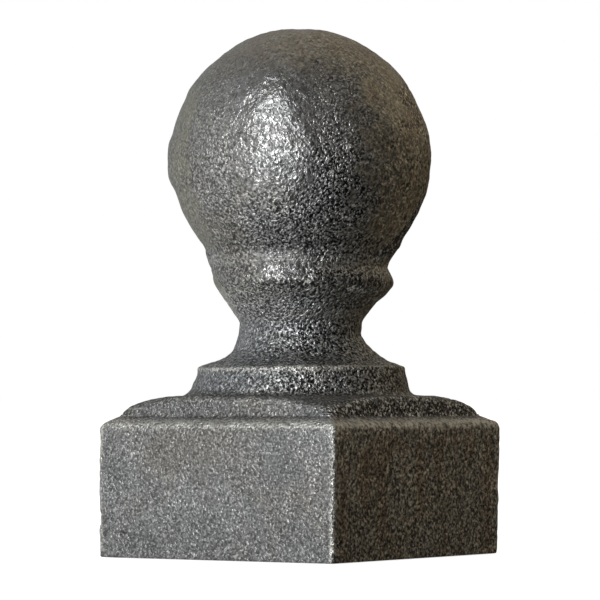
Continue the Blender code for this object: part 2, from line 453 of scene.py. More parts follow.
# Room that the iron reflects: a range of how directly one faces a way, and the brightness there
ROOM_LEFT = (0.88, 0.90, 0.91)
ROOM_RIGHT = (0.192, 0.160, 0.112)
ROOM_TURN = (-0.35, 0.4)
ROOM_BACK = (-1.0, -0.4, 0.42, 1.0)
ROOM_TOP = (0.10, 0.95, 1.0, 0.35)
ROOM_BOTTOM = (-0.9, -0.2, 0.85, 1.0)

# Its two darker places and its glow: degrees right of the camera and up, the range, the brightness
ROOM_SHADES = (((49.0, -25.0), (0.54, 0.88, 1.0, 0.06)), ((52.0, -58.0), (0.70, 0.95, 1.0, 0.30)))
ROOM_GLOW_PLACE = (138.0, 48.0)
ROOM_GLOW_RANGE = (0.6, 0.95)
ROOM_GLOW = (0.28, 0.243, 0.185)


def camera_axes():
    """Unit vectors to the right of the camera and from the cap towards it, both level."""
    right = Vector((math.cos(CAMERA_AZIMUTH), math.sin(CAMERA_AZIMUTH), 0.0))
    towards = Vector((math.sin(CAMERA_AZIMUTH), -math.cos(CAMERA_AZIMUTH), 0.0))
    return right, towards


def seen_from_camera(right_degrees, up_degrees):
    """Direction from the cap, turned this far right of the camera and above the horizon."""
    right, towards = camera_axes()
    turn, rise = math.radians(right_degrees), math.radians(up_degrees)
    level = towards * math.cos(turn) + right * math.sin(turn)
    return level * math.cos(rise) + Vector((0.0, 0.0, math.sin(rise)))


def make_camera():
    """Camera at the photograph's viewpoint."""
    right, towards = camera_axes()
    level_forward = -towards
    forward = level_forward * math.cos(CAMERA_PITCH) + Vector((0.0, 0.0, math.sin(CAMERA_PITCH)))
    level_up = right.cross(forward)
    side = right * math.cos(CAMERA_ROLL) + level_up * math.sin(CAMERA_ROLL)
    up = level_up * math.cos(CAMERA_ROLL) - right * math.sin(CAMERA_ROLL)
    place = towards * CAMERA_DISTANCE + Vector((0.0, 0.0, CAMERA_HEIGHT))
    data = bpy.data.cameras.new("camera")
    data.lens = CAMERA_LENS
    data.sensor_width = SENSOR_WIDTH
    camera = bpy.data.objects.new("camera", data)
    bpy.context.scene.collection.objects.link(camera)
    turn = Matrix((side, up, -forward)).transposed().to_4x4()
    camera.matrix_world = Matrix.Translation(place) @ turn
    bpy.context.scene.camera = camera


def fillet(before, corner, after, reach):
    """Arc that leaves one edge and meets the next, both at this reach from their corner."""
    to_before = (before - corner).normalized()
    to_after = (after - corner).normalized()
    to_centre = (to_before + to_after).normalized()
    centre = corner + to_centre * reach / to_centre.dot(to_before)
    start = corner + to_before * reach - centre
    end = corner + to_after * reach - centre
    sweep = math.atan2(start.cross(end), start.dot(end))
    steps = max(1, math.ceil(abs(sweep) / FILLET_STEP))
    return [centre + Matrix.Rotation(sweep * step / steps, 2) @ start for step in range(steps + 1)]


def rounded_outline(corners):
    """An open outline through (across, up, radius) corners, each rounded to its radius.

    Where two neighbours' arcs would overlap on the edge between them, both take less of it.
    """
    places = [Vector(corner[:2]) for corner in corners]
    reaches = [0.0] * len(corners)
    for index in range(1, len(corners) - 1):
        arriving = places[index] - places[index - 1]
        leaving = places[index + 1] - places[index]
        reaches[index] = corners[index][2] * math.tan(arriving.angle(leaving) / 2)
    shares = [1.0] * len(corners)
    for index in range(len(corners) - 1):
        wanted = reaches[index] + reaches[index + 1]
        share = min(1.0, (places[index + 1] - places[index]).length / max(wanted, TINY))
        shares[index] = min(shares[index], share)
        shares[index + 1] = min(shares[index + 1], share)
    outline = [places[0]]
    for index in range(1, len(corners) - 1):
        reach = reaches[index] * shares[index]
        outline += fillet(places[index - 1], places[index], places[index + 1], reach)
    return outline + [places[-1]]


def square_plan(half_width, corner_radius, side_steps):
    """Points round a square with rounded corners, anticlockwise from where its +X side ends."""
    straight = half_width - corner_radius
    turn = np.linspace(0.0, math.pi / 2, CORNER_STEPS, endpoint=False)
    along = np.linspace(straight, -straight, side_steps, endpoint=False)
    corner = np.column_stack((
        straight + corner_radius * np.cos(turn),
        straight + corner_radius * np.sin(turn),
    ))
    side = np.column_stack((along, np.full(side_steps, half_width)))
    quarter = np.vstack((corner, side))
    quarters = [quarter]
    for _ in range(3):
        quarter = np.column_stack((-quarter[:, 1], quarter[:, 0]))
        quarters.append(quarter)
    return np.vstack(quarters)


def square_shares(side_steps):
    """How far round the square each of its points is, from 0 to 1, with equal shares for its corners."""
    corner = np.linspace(0.0, CORNER_SHARE, CORNER_STEPS, endpoint=False)
    side = np.linspace(CORNER_SHARE, 1.0, side_steps, endpoint=False)
    quarter = np.concatenate((corner, side))
    return np.concatenate([(number + quarter) / 4 for number in range(4)])


def circle_plan(radius, count):
    """Points round a circle, the first facing the square's first."""
    skirt_points = 4 * (SKIRT_SIDE_STEPS + CORNER_STEPS)
    first = math.pi / 4 - CORNER_STEPS * math.pi / skirt_points
    angles = first + np.arange(count) * 2 * math.pi / count
    return np.column_stack((radius * np.cos(angles), radius * np.sin(angles)))


def at_height(plan, height):
    return np.column_stack((plan, np.broadcast_to(height, len(plan))))


def dome_height(plan):
    """Heights of the dome over points: level near the drum, a falling arc beyond."""
    beyond = np.maximum(0.0, np.hypot(plan[:, 0], plan[:, 1]) - DRUM_FOOT_RADIUS - DRUM_FOOT_ROUND)
    return STEP_TOP - beyond**2 / (2 * DOME_FALL_RADIUS)


def skirt_sections():
    """Outer sections from the rim up to the foot of the step."""
    rim_half_width = SKIRT_HALF_WIDTH - SKIRT_TAPER
    outline = rounded_outline([
        (rim_half_width - 2 * RIM_ROUND, 0.0, 0.0),
        (rim_half_width, 0.0, RIM_ROUND),
        (SKIRT_HALF_WIDTH, SKIRT_HEIGHT, SKIRT_EDGE_ROUND),
        (STEP_HALF_WIDTH, STEP_FOOT, LEDGE_FOOT_ROUND),
        (STEP_HALF_WIDTH - STEP_TAPER, STEP_TOP, 0.0),
    ])[:-1]
    sections = []
    for across, height in outline:
        inward = min(1.0, max(0.0, (SKIRT_HALF_WIDTH - across) / LEDGE_WIDTH))
        corner = SKIRT_CORNER + (STEP_CORNER - SKIRT_CORNER) * inward
        sections.append(at_height(square_plan(across, corner, SKIRT_SIDE_STEPS), height))
    return sections


def step_sections():
    """Rounded upper edge of the step, which follows the dome down to each corner."""
    steps = math.ceil(math.pi / 2 / FILLET_STEP)
    sections = []
    for angle in np.linspace(0.0, math.pi / 2, steps + 1):
        half_width = STEP_HALF_WIDTH - STEP_TAPER - STEP_EDGE_ROUND * (1 - math.cos(angle))
        plan = square_plan(half_width, STEP_CORNER, SKIRT_SIDE_STEPS)
        top = dome_height(plan)
        depth = np.minimum(STEP_EDGE_ROUND, STEP_EDGE_SHARE * (top - STEP_FOOT))
        sections.append(at_height(plan, top - depth * (1 - math.sin(angle))))
    return sections


def dome_sections(drum_radius):
    """Sections that pass from the step's square to the drum's circle over the dome."""
    square_half_width = STEP_HALF_WIDTH - STEP_TAPER - STEP_EDGE_ROUND
    square = square_plan(square_half_width, STEP_CORNER, SKIRT_SIDE_STEPS)
    circle = circle_plan(drum_radius, len(square))
    sections = []
    for step in range(1, DOME_STEPS + 1):
        plan = square + (circle - square) * step / DOME_STEPS
        sections.append(at_height(plan, dome_height(plan)))
    return sections


def turned_outline():
    """(radius, height) of the turned stretch, from the drum's foot to just under the ball's pole."""
    neck_top = NECK_FOOT + NECK_HEIGHT
    flare_top = neck_top + FLARE_RISE
    ring_edge = flare_top + RING_UNDERSIDE_RISE
    notch = ring_edge + RING_UPPER_HEIGHT
    collar_top = notch + COLLAR_HEIGHT
    outline = rounded_outline([
        (DRUM_FOOT_RADIUS + DRUM_FOOT_ROUND, STEP_TOP, 0.0),
        (DRUM_FOOT_RADIUS, STEP_TOP, DRUM_FOOT_ROUND),
        (DRUM_TOP_RADIUS, DRUM_TOP, DRUM_EDGE_ROUND),
        (NECK_RADIUS, NECK_FOOT, SHOULDER_ROUND),
        (NECK_RADIUS, neck_top, NECK_TOP_ROUND),
        (FLARE_RADIUS, flare_top, FLARE_ROUND),
        (RING_EDGE_RADIUS, ring_edge, RING_ROUND),
        (NOTCH_RADIUS, notch, NOTCH_ROUND),
        (COLLAR_TOP_RADIUS, collar_top, 0.0),
    ])[1:-1]
    seat = math.acos(COLLAR_TOP_RADIUS / BALL_RADIUS)
    centre = collar_top + BALL_RADIUS * math.sin(seat)
    steps = math.ceil((seat + math.pi / 2) * BALL_RADIUS / ROW_GAP)
    for angle in np.linspace(-seat, math.pi / 2, steps + 1)[:-1]:
        outline.append(Vector((BALL_RADIUS * math.cos(angle), centre + BALL_RADIUS * math.sin(angle))))
    return outline, centre


def socket_sections():
    """Inner sections from the middle of the socket's roof down to its mouth."""
    outline = rounded_outline([
        (SOCKET_CORNER, SOCKET_DEPTH, 0.0),
        (SOCKET_HALF_WIDTH, SOCKET_DEPTH, SOCKET_ROOF_ROUND),
        (SOCKET_HALF_WIDTH, 0.0, RIM_ROUND),
        (SOCKET_HALF_WIDTH + 2 * RIM_ROUND, 0.0, 0.0),
    ])
    sections = []
    for across, height in outline:
        corner = SOCKET_CORNER * min(1.0, across / SOCKET_HALF_WIDTH)
        sections.append(at_height(square_plan(across, corner, SOCKET_SIDE_STEPS), height))
    return sections


def filled(sections, gap):
    """The sections with rows between them wherever two are further apart than the gap."""
    rows = [sections[0]]
    for lower, upper in zip(sections, sections[1:]):
        furthest = np.linalg.norm(upper - lower, axis=1).max()
        steps = max(1, math.ceil(furthest / gap))
        rows += [lower + (upper - lower) * step / steps for step in range(1, steps + 1)]
    return rows


def band_faces(first, count, rows):
    """Quads between rows that have as many points each."""
    column = np.arange(count)
    following = (column + 1) % count
    faces = []
    for row in range(rows - 1):
        lower, upper = first + row * count, first + (row + 1) * count
        quads = np.column_stack((lower + column, lower + following, upper + following, upper + column))
        faces += quads.tolist()
    return faces


def zip_faces(lower, lower_shares, upper, upper_shares):
    """Triangles between two rings whose numbers of points differ, paired by their share of the way round."""
    counts = len(lower_shares), len(upper_shares)
    lower_ends = np.append(lower_shares, 1.0)
    upper_ends = np.append(upper_shares, 1.0)
    low, up = 0, 0
    faces = []
    while low < counts[0] or up < counts[1]:
        here = lower + low % counts[0], upper + up % counts[1]
        step_low = up == counts[1] or (low < counts[0] and lower_ends[low + 1] <= upper_ends[up + 1])
        if step_low:
            low += 1
            faces.append((here[0], lower + low % counts[0], here[1]))
        else:
            up += 1
            faces.append((here[0], upper + up % counts[1], here[1]))
    return faces


def casting_mesh():
    """The whole casting as one closed skin, and the height of its ball's centre."""
    outline, ball_centre = turned_outline()
    turned = [at_height(circle_plan(radius, TURNED_STEPS), height) for radius, height in outline]
    base = skirt_sections() + step_sections() + dome_sections(outline[0][0] + ROW_GAP)
    zones = [
        (filled(socket_sections(), SOCKET_ROW_GAP), square_shares(SOCKET_SIDE_STEPS)),
        (filled(base, ROW_GAP), square_shares(SKIRT_SIDE_STEPS)),
        (filled(turned, ROW_GAP), np.arange(TURNED_STEPS) / TURNED_STEPS),
    ]
    points = [np.array([[0.0, 0.0, SOCKET_DEPTH]])]
    faces = []
    first = 1
    before = None
    for rows, shares in zones:
        count = len(shares)
        if before is None:
            faces += [(0, first + (index + 1) % count, first + index) for index in range(count)]
        else:
            faces += zip_faces(before[0], before[1], first, shares)
        faces += band_faces(first, count, len(rows))
        points += rows
        before = first + (len(rows) - 1) * count, shares
        first += len(rows) * count
    last, shares = before
    count = len(shares)
    faces += [(last + index, last + (index + 1) % count, first) for index in range(count)]
    points.append(np.array([[0.0, 0.0, ball_centre + BALL_RADIUS]]))
    mesh = bpy.data.meshes.new("post_cap_casting")
    mesh.from_pydata(np.vstack(points).tolist(), [], faces)
    mesh.update()
    return mesh, ball_centre


def read(items, name):
    """Three numbers of each of a mesh's items, as rows."""
    values = np.empty(len(items) * 3, np.float32)
    items.foreach_get(name, values)
    return values.reshape(-1, 3).astype(float)


def write_points(mesh, points):
    mesh.vertices.foreach_set("co", points.astype(np.float32).ravel())
    mesh.update()


def add_attribute(mesh, name, values):
    attribute = mesh.attributes.new(name, "FLOAT", "POINT")
    attribute.data.foreach_set("value", values.astype(np.float32))


def ripple(points, wavelength, seed, waves):
    """Smooth random relief of about this wavelength, with a spread of 1, from many plane waves."""
    random = np.random.default_rng(seed)
    total = np.zeros(len(points))
    for _ in range(waves):
        direction = random.normal(size=3)
        direction /= np.linalg.norm(direction)
        length = wavelength * random.uniform(*WAVE_SPREAD)
        total += np.cos(points @ direction * (2 * math.pi / length) + random.uniform(0, 2 * math.pi))
    return total * math.sqrt(2 / waves)


def ease(low, high, values):
    """0 below the low value and 1 above the high one, eased between."""
    share = np.clip((values - low) / (high - low), 0.0, 1.0)
    return share * share * (3 - 2 * share)


def bell(values, middle, spread):
    return np.exp(-((values - middle) / spread) ** 2)


def within(values, low, high, edge):
    """1 inside a range, 0 outside it, eased over the edge on both sides of each end."""
    return ease(low - edge, low + edge, values) * (1 - ease(high - edge, high + edge, values))


def raised(least, more, share):
    """The least of something, with more by a share."""
    return least + more * share


def banded(heights, low, high, edge, amount):
    """An amount in one band of heights, eased to 0 at both ends."""
    return amount * within(heights, low, high, edge)


def to_right(vectors):
    """How far each vector goes to the right of the camera, so 1 for a normal that faces there."""
    return vectors @ np.array(camera_axes()[0])


def on_right(normals):
    """1 well on the right, 0 in the middle and on the left."""
    return ease(*RIGHT_SIDE, to_right(normals))


def on_skirt(points):
    """1 up to the skirt's top edge, 0 from the step's foot up."""
    return 1 - ease(SKIRT_HEIGHT, STEP_FOOT, points[:, 2])


def on_ball(points, ball_centre, foot):
    """1 on the ball, 0 below it, eased between two depths under its centre, as shares of its radius."""
    low, high = (ball_centre - BALL_RADIUS * share for share in foot)
    return ease(low, high, points[:, 2])


def on_ball_top(points, normals):
    """1 on the ball where it faces up, 0 on its underside and below its foot."""
    return ease(*TOP_SLOPE, normals[:, 2]) * ease(*BALL_FOOT, points[:, 2])


def turn_and_rise(points, centre_height):
    """Angles of each point right of the camera and above a centre on the axis, in degrees."""
    right, towards = camera_axes()
    across, near = points @ np.array(right), points @ np.array(towards)
    up = points[:, 2] - centre_height
    turn = np.degrees(np.arctan2(across, near))
    return turn, np.degrees(np.arctan2(up, np.hypot(across, near)))


def wander(points):
    """Moves the two limbs out or in, as the mould did, and leans the skirt a little."""
    right = np.array(camera_axes()[0])
    heights = points[:, 2]
    share = (points @ right) / np.maximum(np.hypot(points[:, 0], points[:, 1]), TINY)
    shift = np.zeros(len(points))
    for side, rows in ((-1, LEFT_LIMB), (1, RIGHT_LIMB)):
        weight = side * np.clip(side * share, 0, 1) ** 2
        for middle, spread, outwards in rows:
            shift += weight * outwards * bell(heights, middle, spread)
    lean = SKIRT_LEAN[0] + (SKIRT_LEAN[1] - SKIRT_LEAN[0]) * heights / SKIRT_HEIGHT
    shift += lean * (1 - ease(SKIRT_HEIGHT, STEP_TOP, heights))
    return points + right * shift[:, None]


def dressed_strip(points, ball_centre):
    """How far each point lies in the strip dressed on the ball, 0 to 1, and how deep it was cut."""
    turn, rise = turn_and_rise(points, ball_centre)
    uneven = STRIP_UNEVENNESS * ripple(points, *STRIP_PATTERN)
    ball = on_ball(points, ball_centre, STRIP_FOOT)
    strip = within(turn + uneven, *STRIP_SIDES)
    strip *= within(rise, *STRIP_RISE) * ball
    missed = within(turn + uneven, *MISSED_SIDES)
    missed *= within(rise, *MISSED_RISE)
    spots = ease(*SPOT_RANGE, ripple(points, *SPOT_PATTERN)) * within(rise, *SPOT_RISE)
    strip *= (1 - MISSED_SHARE * missed) * (1 - SPOT_SHARE * spots)
    depth = np.zeros(len(points))
    for low, high, cut in STRIP_STAGES:
        depth += cut * within(rise, low, high, STAGE_EASE)
    return strip, depth * within(turn, *STRIP_CUT_SIDES) * ball


def seam(points, ball_centre):
    """Where the mould's halves didn't meet: how far out each point goes, the painted shade behind, the bright
    lip.
    """
    turn, rise = turn_and_rise(points, ball_centre)
    past = turn + SEAM_UNEVENNESS * ripple(points, *SEAM_PATTERN) - SEAM_TURN
    past += SEAM_SLANT * np.maximum(0.0, SEAM_BEND - rise)
    lip = LIP_HEIGHT * within(past, *LIP_SIDES)
    lower = LOWER_HALF_DEPTH * within(past, *LOWER_HALF_SIDES)
    dark = within(past, *SEAM_DARK_SIDES) * within(rise, *SEAM_DARK_RISE)
    in_reach = within(rise, *SEAM_RISE)
    return (lip - lower) * in_reach, dark, in_reach * within(past, *LIP_WORN_SIDES)


def cut_flat(points, turn, rise, radius, height):
    """Brings what stands past a flat back to it, and says how much was cut."""
    facing_out = np.array(seen_from_camera(turn, rise))
    level = np.array(seen_from_camera(turn, 0.0))
    on_flat = level * radius + np.array([0.0, 0.0, height])
    past = np.maximum((points - on_flat) @ facing_out, 0.0)
    past[points @ level < 0] = 0.0
    past *= within(points[:, 2], *RING_REACH)
    return points - facing_out * past[:, None], past


def dressed_form(points, ball_centre):
    """The points after wander, dressing and mismatch, how far each is ground, and the seam's painted shade
    and lip.
    """
    points = wander(points)
    strip, depth = dressed_strip(points, ball_centre)
    mismatch, seam_shade, lip = seam(points, ball_centre)
    from_ball = points - np.array([0.0, 0.0, ball_centre])
    outwards = mismatch - depth
    points += from_ball / np.linalg.norm(from_ball, axis=1)[:, None] * outwards[:, None]
    ground = strip
    for flat in RING_FLATS:
        points, past = cut_flat(points, *flat)
        ground = np.maximum(ground, ease(0.0, GROUND_DEPTH, past))
    return points, ground, seam_shade, lip


def sand_relief(points, ground, rubbed):
    """Height of the sand's relief: its coarse grain is less where ground and more where rubbed."""
    rise = UNDULATION_HEIGHT * ripple(points, *UNDULATION)
    rise += ORANGE_PEEL_HEIGHT * ripple(points, *ORANGE_PEEL)
    coarse = (1 - GROUND_COARSE_LOSS * ground) * (1 + RUBBED_COARSE_GAIN * rubbed)
    return rise + COARSE_GRAIN_HEIGHT * ripple(points, *COARSE_GRAIN) * coarse


def dig_pits(points, normals):
    """Pits, the named ones and small ones strewn over the outside, more of them on the ball's right."""
    random = np.random.default_rng(PIT_SEED)
    outside = np.flatnonzero(normals[:, 2] > UNDERSIDE_SLOPE)
    pits = list(PITS)
    limb = within(to_right(normals), *PIT_LIMB) * within(points[:, 2], *PIT_LIMB_BAND)
    chosen = np.concatenate((
        random.choice(outside, STREWN_PITS, replace=False),
        random.choice(np.flatnonzero(limb > 0.5), RIGHT_PITS, replace=False),
    ))
    for index in chosen:
        radius = random.uniform(*PIT_RADII)
        pits.append((*points[index], radius, radius * random.uniform(*PIT_DEPTH_SHARES)))
    depth = np.zeros(len(points))
    for x, y, z, radius, deepest in pits:
        apart = np.linalg.norm(points - np.array([x, y, z]), axis=1) / radius
        depth = np.maximum(depth, deepest * np.clip(1 - apart**2, 0, 1))
    return depth


def roundness(mesh, points, normals):
    """How sharply each point's surroundings bend, per metre: above 0 on edges, below 0 in recesses."""
    ends = np.empty(len(mesh.edges) * 2, np.int32)
    mesh.edges.foreach_get("vertices", ends)
    first, second = ends.reshape(-1, 2).T
    along = points[second] - points[first]
    lengths = np.linalg.norm(along, axis=1)
    bend = np.einsum("ij,ij->i", normals[second] - normals[first], along) / np.maximum(lengths, TINY) ** 2
    total = np.zeros(len(points))
    count = np.zeros(len(points))
    for ends_here in (first, second):
        np.add.at(total, ends_here, bend)
        np.add.at(count, ends_here, 1)
    return spread_out(total / np.maximum(count, 1), first, second, BEND_ROUNDS)


def spread_out(values, first, second, rounds):
    """The values averaged with those next to them, several times over."""
    for _ in range(rounds):
        total = values.copy()
        count = np.ones(len(values))
        for here, there in ((first, second), (second, first)):
            np.add.at(total, here, values[there])
            np.add.at(count, here, 1)
        values = total / count
    return values


def make_casting():
    """The casting with its wander, dressing, relief and pits, and its tones, painted shade and light among
    them, and grain as attributes.
    """
    mesh, ball_centre = casting_mesh()
    points = read(mesh.vertices, "co")
    bend = roundness(mesh, points, read(mesh.vertex_normals, "vector"))
    points, ground, seam_shade, lip = dressed_form(points, ball_centre)
    write_points(mesh, points)
    normals = read(mesh.vertex_normals, "vector")
    outside = ease(0.0, RELIEF_FOOT, points[:, 2])
    rubbed = hand_rubbed(points, normals)
    pits = dig_pits(points, normals) * outside
    points += normals * (sand_relief(points, ground, rubbed) * outside - pits)[:, None]
    write_points(mesh, points)
    normals = read(mesh.vertex_normals, "vector")
    film_and_warm_light = film_and_warm_light_share(points, normals, ball_centre)
    border = 4 * ground * (1 - ground)
    dirt_and_shade = np.maximum(dirt_and_shade_share(points, normals, bend, pits), BORDER_DIRT * border)
    grain = grain_strength(points, normals, film_and_warm_light) * (1 - RUBBED_GRAIN_LOSS * rubbed)
    attributes = {
        "ground": ground,
        "film_and_warm_light": np.maximum(film_and_warm_light, left_film_share(points, normals)),
        "worn_and_highlight": np.maximum(wear_and_highlight_share(points, normals, bend), LIP_WEAR * lip),
        "dirt_and_shade": np.maximum(dirt_and_shade, PIT_SHADE * seam_shade),
        "rough": grain * (1 - GROUND_GRAIN_LOSS * ground),
        "runs": rust_runs(points, normals),
        "relief": relief_strength(points, normals, film_and_warm_light, rubbed, ground),
        "cool_and_brighter": cool_and_brighter_share(points, normals),
        "pebbles": pebble_share(points, normals, film_and_warm_light, rubbed),
    }
    for name, values in attributes.items():
        add_attribute(mesh, name, values)
    mesh.shade_smooth()
    casting = bpy.data.objects.new("casting", mesh)
    bpy.context.scene.collection.objects.link(casting)
    return casting


def film_and_warm_light_share(points, normals, ball_centre):
    """Thin olive-brown film, partly painted warm light: on the ball's right and top, and on the skirt's
    right.
    """
    rightward = to_right(normals) + FILM_AND_WARM_LIGHT_UNEVENNESS * ripple(points, *FILM_AND_WARM_LIGHT_PATTERN)
    ball = on_ball(points, ball_centre, FILM_AND_WARM_LIGHT_FOOT)
    skirt = 1 - ease(SKIRT_HEIGHT - FILM_AND_WARM_LIGHT_SKIRT_EASE, SKIRT_HEIGHT, points[:, 2])
    film_and_warm_light = ease(*FILM_AND_WARM_LIGHT_SIDE, rightward) * (ball + FILM_AND_WARM_LIGHT_SKIRT_SHARE * skirt)
    return np.maximum(film_and_warm_light, FILM_AND_WARM_LIGHT_TOP_SHARE * ease(*FILM_AND_WARM_LIGHT_TOP_SLOPE, normals[:, 2]) * ball)


def left_film_share(points, normals):
    """A trace of the film's colour on the ball's left, which leaves the grain there as it is."""
    leftward = ease(*FILM_LEFT_SIDE, -to_right(normals))
    return FILM_LEFT_SHARE * leftward * ease(*BALL_FOOT, points[:, 2])


def hand_rubbed(points, normals):
    """The ball's and ring's side towards the window, rubbed smoother."""
    high = ease(*RUBBED_FOOT, points[:, 2])
    return within(to_right(normals), *RUBBED_SIDES) * ease(*RUBBED_SLOPE, normals[:, 2]) * high


def wear_and_highlight_share(points, normals, bend):
    """Wear and painted highlights: proud edges in broken stretches, and bands of painted light from the
    skirt's top to the collar.
    """
    heights = points[:, 2]
    rightward = to_right(normals)
    right = on_right(normals)
    past_middle = ease(*PAST_MIDDLE, rightward)
    broken = ease(*WORN_RANGE, ripple(points, *WORN_PATTERN))
    on_step = (1 - on_skirt(points)) * (1 - ease(STEP_TOP, STEP_TOP + STEP_WEAR_EASE, heights))
    ring_top = raised(*RING_TOP_LOSS, past_middle) - RING_LEFT_PAINTED_HIGHLIGHT * ease(*RING_TOP_LEFT, -rightward)
    edges = ease(*WORN_BEND, bend) * raised(*WORN_EDGES, broken)
    edges *= (1 - STEP_WEAR_LOSS * on_step) * ease(*WORN_FOOT, heights)
    edges *= 1 - banded(heights, *RING_LOW_LOSS)
    edges *= 1 - ring_top * within(heights, *RING_TOP_BAND)
    edges *= 1 + raised(*DRUM_EDGE_GAIN, right) * within(heights, *DRUM_EDGE_BAND)
    skirt_top = raised(*SKIRT_TOP_WEAR_AND_HIGHLIGHT, broken) * (1 - SKIRT_TOP_RIGHT_LOSS * right)
    return np.maximum.reduce((
        edges,
        raised(*COLLAR_PAINTED_LIGHT, right) * within(heights, *COLLAR_BAND),
        past_middle * banded(heights, *NOTCH_PAINTED_HIGHLIGHT),
        raised(*FLARE_PAINTED_LIGHT, ease(*FLARE_SIDE, -rightward)) * within(heights, *FLARE_BAND),
        banded(heights, *NECK_TOP_PAINTED_LIGHT),
        skirt_top * within(heights, *SKIRT_TOP_BAND),
    ))


def dirt_and_shade_share(points, normals, bend, pits):
    """Dirt and painted shade. Painted shade in recesses and pits, in bands up to the ball, on the right side
    and round the ring's and the ball's highlights; both over the step and the dome.
    """
    heights = points[:, 2]
    rightward = to_right(normals)
    leftward = ease(*DARKENING_LEFT, -to_right(points))
    right = on_right(normals)
    level = ease(*LEVEL_SLOPE, normals[:, 2])
    level *= 1 - ease(DRUM_TOP - DOME_DIRT_AND_SHADE_EASE, DRUM_TOP, heights)
    low = 1 - ease(DRUM_TOP, DRUM_TOP + NECK_HEIGHT + NECK_DARKENING_EASE, heights)
    zone = np.maximum(raised(*DOME_DIRT_AND_SHADE, leftward) * level, raised(*NECK_DARKENING, low))
    zone *= ease(*DARKENING_FOOT, heights) * (1 - ease(*DARKENING_TOP, heights))
    for band in SHADE_BANDS:
        zone += banded(heights, *band)
    for band in RIGHT_SHADE_BANDS:
        zone += right * banded(heights, *band)
    zone += banded(heights, *RING_EDGE_SHADE) * within(rightward, *RING_EDGE_SIDES)
    zone += banded(heights, *RING_FOOT_SHADE) * ease(*RING_FOOT_LEFT, -rightward)
    zone += banded(heights, *DOME_LEFT_SHADE) * leftward
    ring_left = raised(*RING_LEFT_SHADE, bell(rightward, *RING_LEFT_MIDDLE))
    ring_left *= 1 - ease(*RING_LEFT_END, rightward)
    zone += ring_left * within(heights, *RING_LEFT_BAND)
    zone += raised(*SKIRT_FOOT_SHADE, right) * (1 - ease(0.0, SKIRT_FOOT_SHADE_TOP * SKIRT_HEIGHT, heights))
    zone += BALL_SHADE * bell(heights, *BALL_SHADE_BELL) * within(rightward, *BALL_SHADE_SIDES)
    zone += RECESS_SHADE * ease(*RECESS_BEND, -bend)
    return np.maximum(np.clip(zone, 0.0, MOST_DIRT_AND_SHADE), PIT_SHADE * ease(0.0, PIT_SHADE_DEPTH, pits))


def rust_runs(points, normals):
    """Reddish runs down the skirt's right."""
    tall = points * np.array([1.0, 1.0, RUN_STRETCH])
    streaks = ease(*RUN_RANGE, ripple(tall, *RUN_PATTERN))
    below = 1 - ease(*RUN_TOP, points[:, 2])
    return RUN_SHARE * streaks * below * ease(*RIGHT_SKIRT, to_right(normals))


def cool_and_brighter_share(points, normals):
    """Where the scale is bluer and painted light brightens it: the drum and neck, and the step's right."""
    lowest = STEP_FOOT + STEP_HEIGHT * (1 - on_right(normals))
    above = ease(0.0, COOL_AND_BRIGHTER_EASE, points[:, 2] - lowest)
    return above * (1 - ease(*COOL_AND_BRIGHTER_TOP, points[:, 2]))


def pebble_share(points, normals, film_and_warm_light, rubbed):
    """Where the grain is coarser: under the film and its painted warm light, on the skirt's right and where
    it is rubbed.
    """
    right = on_skirt(points) * ease(*RIGHT_SKIRT, to_right(normals))
    return np.maximum.reduce((film_and_warm_light, RIGHT_PEBBLES * right, RUBBED_PEBBLES * rubbed))


def spotted_limb(points, normals):
    """Patches of coarse dark specks near the ball's right limb, short of the limb itself."""
    patches = ease(*SPOTTED_RANGE, ripple(points, *LIMB_PATTERN))
    return patches * within(to_right(normals), *SPOTTED_SIDES) * within(points[:, 2], *SPOTTED_BAND)


def grain_strength(points, normals, film_and_warm_light):
    """How strongly the grain shows: most on the right, less on the left, under the film and its painted warm
    light, and on tops.
    """
    heights = points[:, 2]
    unspotted = 1 - spotted_limb(points, normals)
    rightward = ease(*GRAIN_SIDE, to_right(normals))
    least = LEAST_GRAIN + LEAST_GRAIN_ABOVE * ease(-STEP_TOP_EASE, STEP_TOP_EASE, heights - STEP_TOP)
    least += banded(heights, *LEAST_GRAIN_NECK)
    on_dome = ease(*LEVEL_SLOPE, normals[:, 2]) * (1 - ease(*DOME_GRAIN_TOP, heights))
    strength = least + (1 - least) * rightward
    strength *= 1 - SKIRT_GRAIN_LOSS * on_skirt(points) * ease(*FAR_RIGHT, rightward)
    strength *= 1 - FILM_AND_WARM_LIGHT_GRAIN_LOSS * film_and_warm_light * unspotted
    strength *= 1 - TOP_GRAIN_LOSS * on_ball_top(points, normals) * unspotted
    return strength * (1 - DOME_GRAIN_LOSS * on_dome)


def relief_strength(points, normals, film_and_warm_light, rubbed, ground):
    """How high the grain stands: most from step to ring, less under the film and its painted warm light, on
    top and where it is worn.
    """
    heights = points[:, 2]
    relief = RELIEF + banded(heights, *STEP_RELIEF) + banded(heights, *NECK_RELIEF)
    relief += TOP_RELIEF * on_ball_top(points, normals)
    relief *= (1 - RUBBED_RELIEF_LOSS * rubbed) * (1 - GROUND_RELIEF_LOSS * ground)
    relief *= (1 - FILM_AND_WARM_LIGHT_RELIEF_LOSS * film_and_warm_light) * (1 + SPOTTED_RELIEF_GAIN * spotted_limb(points, normals))
    past_middle = ease(*RING_RELIEF_SIDE, to_right(normals))
    return relief * (1 - past_middle * banded(heights, *RING_RELIEF_LOSS))


def add_node(tree, kind, settings=(), inputs=()):
    """A new node with these settings and unlinked input values."""
    node = tree.nodes.new(kind)
    for name, value in settings:
        setattr(node, name, value)
    for name, value in inputs:
        node.inputs[name].default_value = value
    return node


